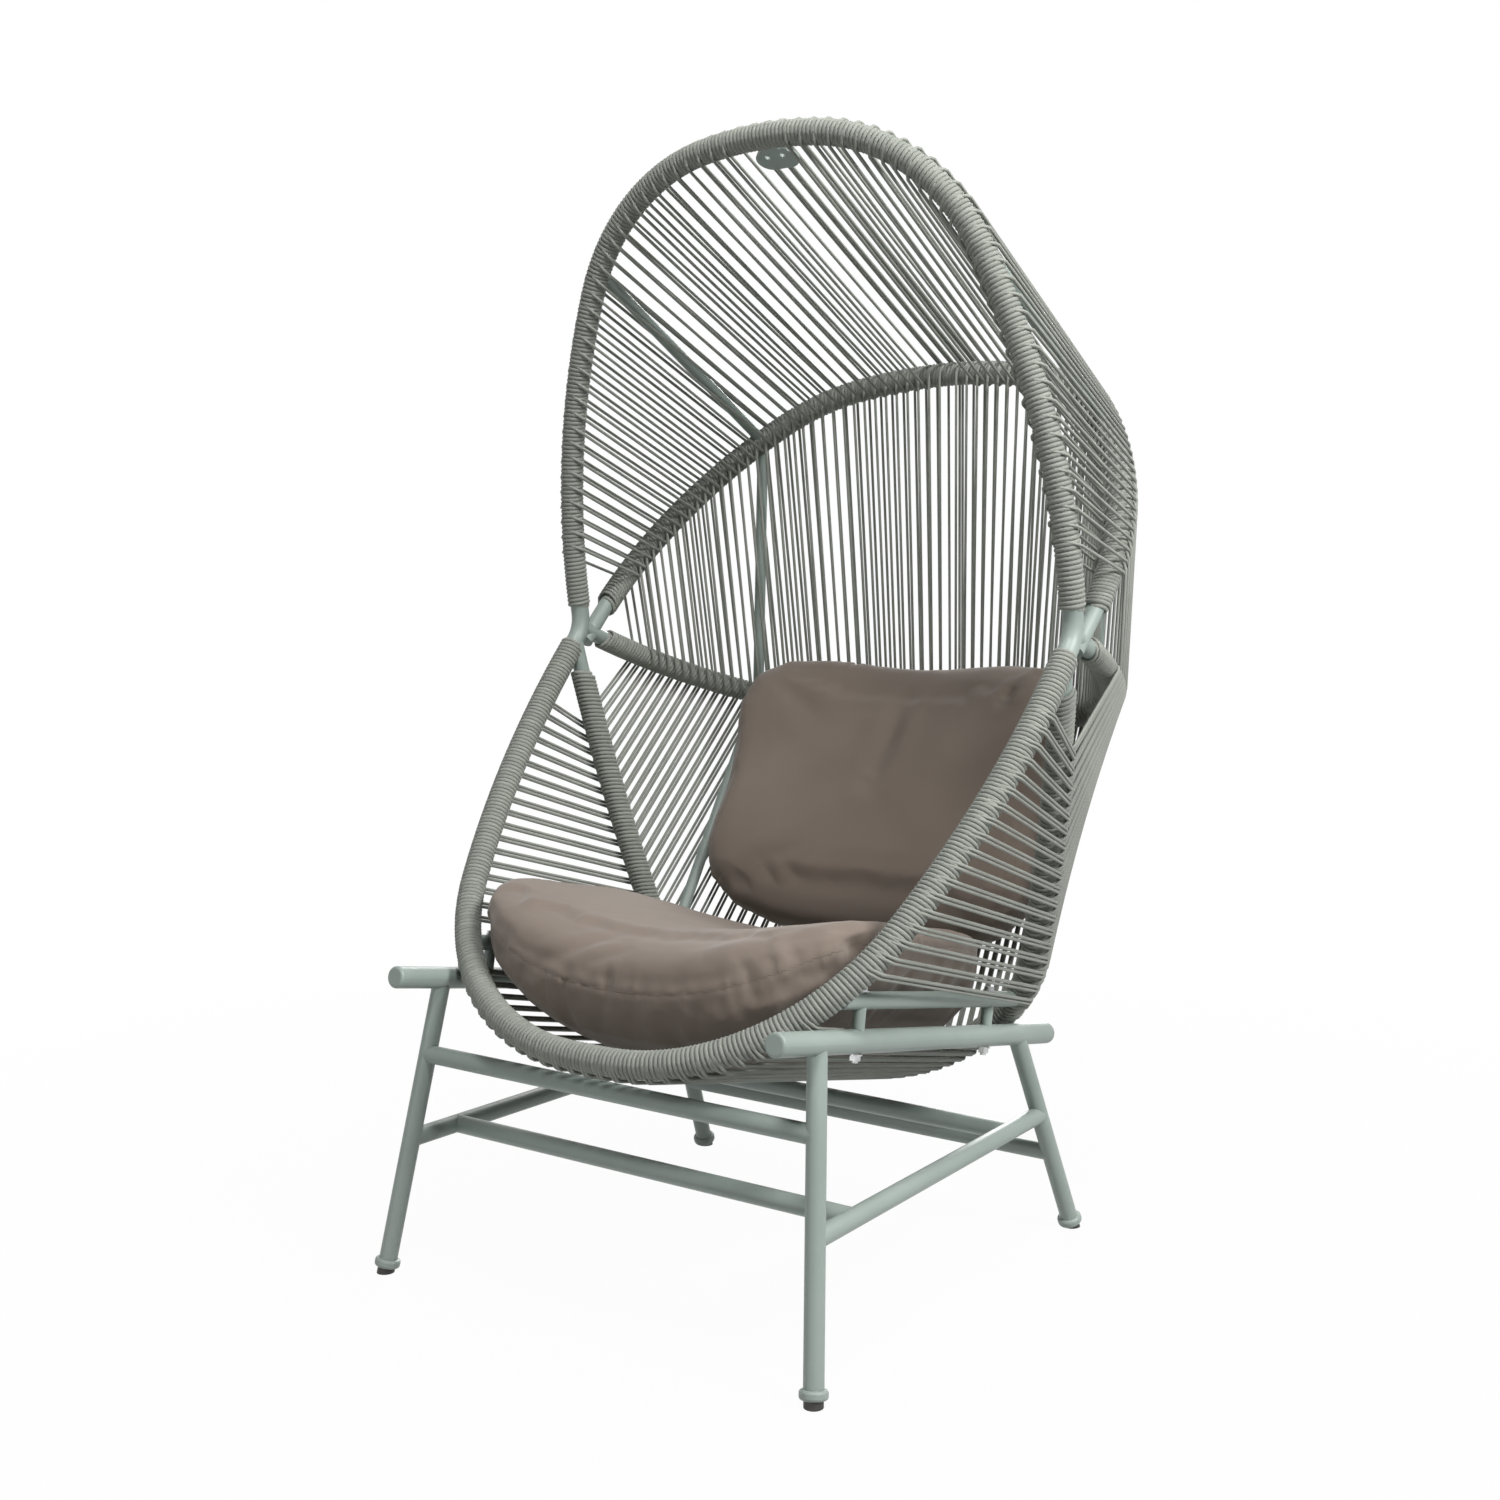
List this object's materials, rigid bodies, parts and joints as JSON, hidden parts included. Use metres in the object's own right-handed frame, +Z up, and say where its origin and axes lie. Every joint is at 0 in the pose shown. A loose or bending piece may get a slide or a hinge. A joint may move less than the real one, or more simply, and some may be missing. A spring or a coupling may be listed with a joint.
{
  "type": "cocoon lounge chair",
  "caption": "High-backed cocoon lounge chair: rope wound over bent tube ribs, bolted on a splayed tube base, with loose seat and back cushions.",
  "frame": {"origin": "on the floor under the middle of the chair's bounding box", "axes": "+Z up, the open front of the chair faces -Y, +X is to the right when looking at the front towards +Y"},
  "size_m": [0.8944, 0.9869, 1.5697],
  "materials": {
    "sage_paint": "satin powder coat, sage grey-green",
    "rope": "round woven outdoor rope, grey-green",
    "cushion_fabric": "taupe slub-weave outdoor fabric",
    "cushion_filling": "white fibre filling",
    "zinc_steel": "zinc-plated steel",
    "glide_plastic": "black moulded glide"
  },
  "bodies": {
    "frame": {"rail_left": "sage_paint", "rail_right": "sage_paint", "rail_end_caps": "sage_paint", "front_leg_left": "sage_paint", "front_leg_right": "sage_paint", "rear_leg_left": "sage_paint", "rear_leg_right": "sage_paint", "foot_collars": "sage_paint", "foot_glides": "glide_plastic", "front_upper_crossbar": "sage_paint", "front_lower_crossbar": "sage_paint", "rear_lower_crossbar": "sage_paint", "rear_crossbar": "sage_paint", "side_stretcher_left": "sage_paint", "side_stretcher_right": "sage_paint", "mounting_posts": "sage_paint", "mounting_bolts": "zinc_steel", "mounting_washers": "zinc_steel", "mounting_nuts": "zinc_steel", "runner_left": "sage_paint", "runner_right": "sage_paint", "front_hoop_upper": "sage_paint", "front_hoop_lower": "sage_paint", "knee_elbow_left": "sage_paint", "knee_elbow_right": "sage_paint", "upper_back_rib": "sage_paint", "lower_back_rib": "sage_paint", "bottom_rib": "sage_paint", "hood_strut_left": "sage_paint", "hood_strut_right": "sage_paint", "back_strut_left": "sage_paint", "back_strut_right": "sage_paint", "low_strut_left": "sage_paint", "low_strut_right": "sage_paint", "hanger_plate": "sage_paint", "wrap_hoop_upper": "rope", "wrap_hoop_lower": "rope", "wrap_upper_back": "rope", "wrap_lower_back": "rope", "wrap_bottom": "rope", "hood_strands": "rope", "back_strands": "rope", "low_back_strands": "rope", "seat_strands": "rope"},
    "seat_cushion": {"seat_cushion_cover": "cushion_fabric", "seat_cushion_fill": "cushion_filling"},
    "back_cushion": {"back_cushion_cover": "cushion_fabric", "back_cushion_fill": "cushion_filling"}
  },
  "joints": [
    {"name": "seat_cushion_lift", "type": "slide", "parent": "frame", "child": "seat_cushion", "axis": [0, -0.7071, 0.7071], "range_m": [0, 0.3]},
    {"name": "back_cushion_lift", "type": "slide", "parent": "frame", "child": "back_cushion", "axis": [0, -0.7071, 0.7071], "range_m": [0, 0.3]}
  ]
}
